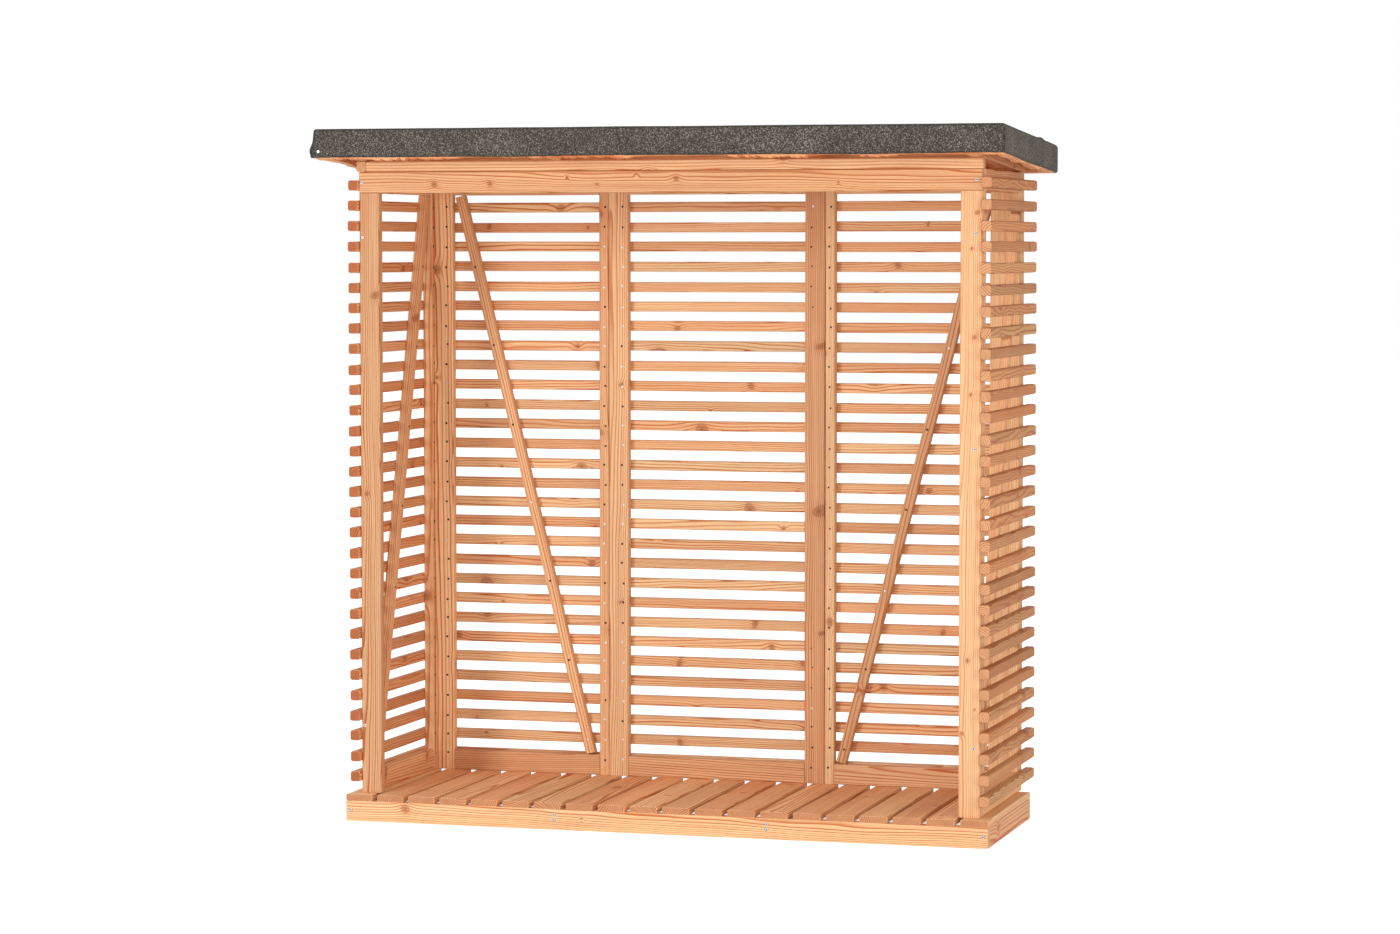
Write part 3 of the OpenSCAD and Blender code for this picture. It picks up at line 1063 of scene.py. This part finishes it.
class LOGSTORE_OT_nails(bpy.types.Operator):
    """Nails that hold the slats, driven from inside"""

    bl_idname = "log_store.nails"
    bl_label = "Nails"

    # how far a nail strays, the share of bright ones at the sides and braces, and the rows that nail a brace
    WANDER = 0.003
    BRIGHT = 0.15
    BRACE_ROWS = slice(1, None, 4)
    BRACE_END = 0.02

    def execute(self, context):
        fixing = looks().fixing
        self.dice = random.Random("nails")
        nails = Fixings("slat_nails")
        rows = [(p.min(0)[2] + p.max(0)[2]) / 2 for p in solid_points("back_middle_slats")]
        for node, share, bright in (
            ("back_left_corner_post", 0.69, 0.1),
            ("back_left_joint_batten", 0.6, 0.5),
            ("back_middle_left_post", 0.72, 0.5),
            ("back_middle_right_post", 0.36, 0.3),
            ("back_right_joint_batten", 0.5, 0.05),
            ("back_right_corner_post", 0.31, 0.1),
        ):
            low, high = corners(node)
            for z in rows:
                self.drive(nails, (low[0] + (high[0] - low[0]) * share, low[1], z), FRONT, bright)
        for side, inward in (("left", 1), ("right", -1)):
            for part, share in (("front_post", 0.5), ("back_post", 0.25)):
                low, high = corners(f"{side}_wall_{part}")
                face = high[0] if inward > 0 else low[0]
                for z in rows:
                    place = (face, low[1] + (high[1] - low[1]) * share, z)
                    self.drive(nails, place, (inward, 0, 0), self.BRIGHT)
            self.along_brace(nails, f"{side}_wall_brace", (inward, 0, 0), rows)
            self.along_brace(nails, f"back_{side}_brace", FRONT, rows)
        zinc = metal_material("zinc_nail", fixing.zinc, 0.15, 0.4)
        dull = metal_material("dull_nail", fixing.rust, 0.2, 0.6)
        nails.build((zinc, dull), "frame_wood")
        return {"FINISHED"}

    def drive(self, nails, place, normal, bright):
        """A nail near its place, a little out of line, either bright or dull."""
        out = np.abs(np.array(normal))
        stray = np.array([self.dice.uniform(-1, 1) * self.WANDER for _ in range(3)]) * (1 - out)
        nails.nail(np.array(place) + stray, normal, self.dice.random() < bright)

    def along_brace(self, nails, node, normal, rows):
        """Nails up the middle of a brace."""
        points = solid_points(node)[0]
        run = brace_run(points)
        centre, low, high = points.mean(0), points.min(0), points.max(0)
        axis = int(np.argmax(np.abs(normal)))
        for z in rows[self.BRACE_ROWS]:
            if low[2] + self.BRACE_END < z < high[2] - self.BRACE_END:
                spot = centre + run * (z - centre[2]) / run[2]
                spot[axis] = high[axis] if normal[axis] > 0 else low[axis]
                self.drive(nails, spot, normal, self.BRIGHT)


class LOGSTORE_OT_stage(bpy.types.Operator):
    """Camera, lamps, floor and white background"""

    bl_idname = "log_store.stage"
    bl_label = "Studio stage"

    WHITE, WARM = (1.0, 1.0, 1.0), (1.0, 0.9, 0.74)
    AMBIENT = (0.6, 0.59, 0.57)
    FLOOR_REACH = 40.0
    FLOOR_GLOW = (0.66, 0.66, 0.66)

    def execute(self, context):
        self.camera(context)
        self.lamps(context)
        self.floor()
        self.world(context)
        context.scene.view_settings.view_transform = "Standard"
        return {"FINISHED"}

    def camera(self, context):
        stage = looks().stage
        data = bpy.data.cameras.new("camera")
        data.sensor_width = SENSOR_WIDTH
        data.sensor_fit = "HORIZONTAL"
        data.lens = stage.focal / IMAGE_WIDTH * SENSOR_WIDTH
        data.clip_end = 200
        view = bpy.data.objects.new("camera", data)
        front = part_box("base_front_beam")[0].y
        place = Vector((stage.camera_right, front - stage.camera_front, stage.camera_height))
        turn = Euler((math.pi / 2 - stage.pitch, 0.0, stage.yaw))
        view.matrix_world = Matrix.LocRotScale(place, turn, None)
        context.scene.collection.objects.link(view)
        context.scene.camera = view

    def lamps(self, context):
        for name, place, target, wide, high, watts, tint in (
            ("key_softbox", (-2.6, -6.3, 2.1), (0.0, 0.0, 0.9), 1.0, 3.6, 172.0, self.WHITE),
            ("low_fill", (0.8, -6.0, 0.7), (0.0, 0.0, 1.1), 3.0, 3.0, 50.0, self.WHITE),
            ("right_fill", (5.2, -2.6, 1.6), (0.5, 0.0, 0.9), 3.0, 3.0, 76.0, self.WARM),
        ):
            data = bpy.data.lights.new(name, "AREA")
            data.shape = "RECTANGLE"
            data.size = wide
            data.size_y = high
            data.energy = watts
            data.color = tint
            lamp = bpy.data.objects.new(name, data)
            lamp.location = place
            aim = Vector(target) - Vector(place)
            lamp.rotation_euler = aim.to_track_quat("-Z", "Y").to_euler()
            context.scene.collection.objects.link(lamp)

    def floor(self):
        reach = self.FLOOR_REACH
        mesh = bpy.data.meshes.new("studio_floor")
        corners = [(-reach, -reach, 0), (reach, -reach, 0), (reach, reach, 0), (-reach, reach, 0)]
        mesh.from_pydata(corners, [], [(0, 1, 2, 3)])
        material, g = new_material("studio_floor")
        glow = g.mix(self.seen(g), (0.0, 0.0, 0.0), self.FLOOR_GLOW)
        shade = (*looks().stage.floor, 1.0)
        g.surface({"Base Color": shade, "Roughness": 0.9, "Emission Color": glow, "Emission Strength": 1.0})
        mesh.materials.append(material)
        floor = bpy.data.objects.new("studio_floor", mesh)
        bpy.context.scene.collection.objects.link(floor)

    @staticmethod
    def seen(g):
        """1 where the camera, a reflection or a clear surface looks at the stage."""
        path = g.node("ShaderNodeLightPath").socket.node.outputs
        rays = [Value(g, path[name]) for name in ("Is Camera Ray", "Is Glossy Ray", "Is Transmission Ray")]
        return g.maths("MAXIMUM", g.maths("MAXIMUM", rays[0], rays[1]), rays[2])

    def world(self, context):
        world = bpy.data.worlds.new("studio")
        world.use_nodes = True
        context.scene.world = world
        g = Graph(world.node_tree)
        level = g.mix(self.seen(g), self.AMBIENT, self.WHITE)
        sky = g.node("ShaderNodeBackground", {}, {"Color": level, "Strength": 1.0})
        g.node("ShaderNodeOutputWorld", {}, {"Surface": sky})


OPERATORS = (
    LOGSTORE_OT_base,
    LOGSTORE_OT_front,
    LOGSTORE_OT_side_walls,
    LOGSTORE_OT_back_wall,
    LOGSTORE_OT_roof,
    LOGSTORE_OT_felt,
    LOGSTORE_OT_screws,
    LOGSTORE_OT_nails,
    LOGSTORE_OT_stage,
)


class LOGSTORE_PT_panel(bpy.types.Panel):
    """Lists the log store's pieces"""

    bl_idname = "LOGSTORE_PT_panel"
    bl_label = "Log Store"
    bl_space_type = "VIEW_3D"
    bl_region_type = "UI"
    bl_category = "Log Store"

    def draw(self, context):
        for operator in OPERATORS:
            self.layout.operator(operator.bl_idname)


CLASSES = (TimberLooks, FeltLooks, FixingLooks, StageLooks, LogStoreLooks, *OPERATORS, LOGSTORE_PT_panel)


def register():
    for cls in CLASSES:
        bpy.utils.register_class(cls)
    bpy.types.Scene.log_store = PointerProperty(type=LogStoreLooks)


def unregister():
    del bpy.types.Scene.log_store
    for cls in reversed(CLASSES):
        bpy.utils.unregister_class(cls)


def main():
    register()
    bpy.ops.log_store.base()
    bpy.ops.log_store.front()
    bpy.ops.log_store.side_walls()
    bpy.ops.log_store.back_wall()
    bpy.ops.log_store.roof()
    bpy.ops.log_store.felt()
    bpy.ops.log_store.screws()
    bpy.ops.log_store.nails()
    bpy.ops.log_store.stage()


if __name__ == "__main__":
    main()
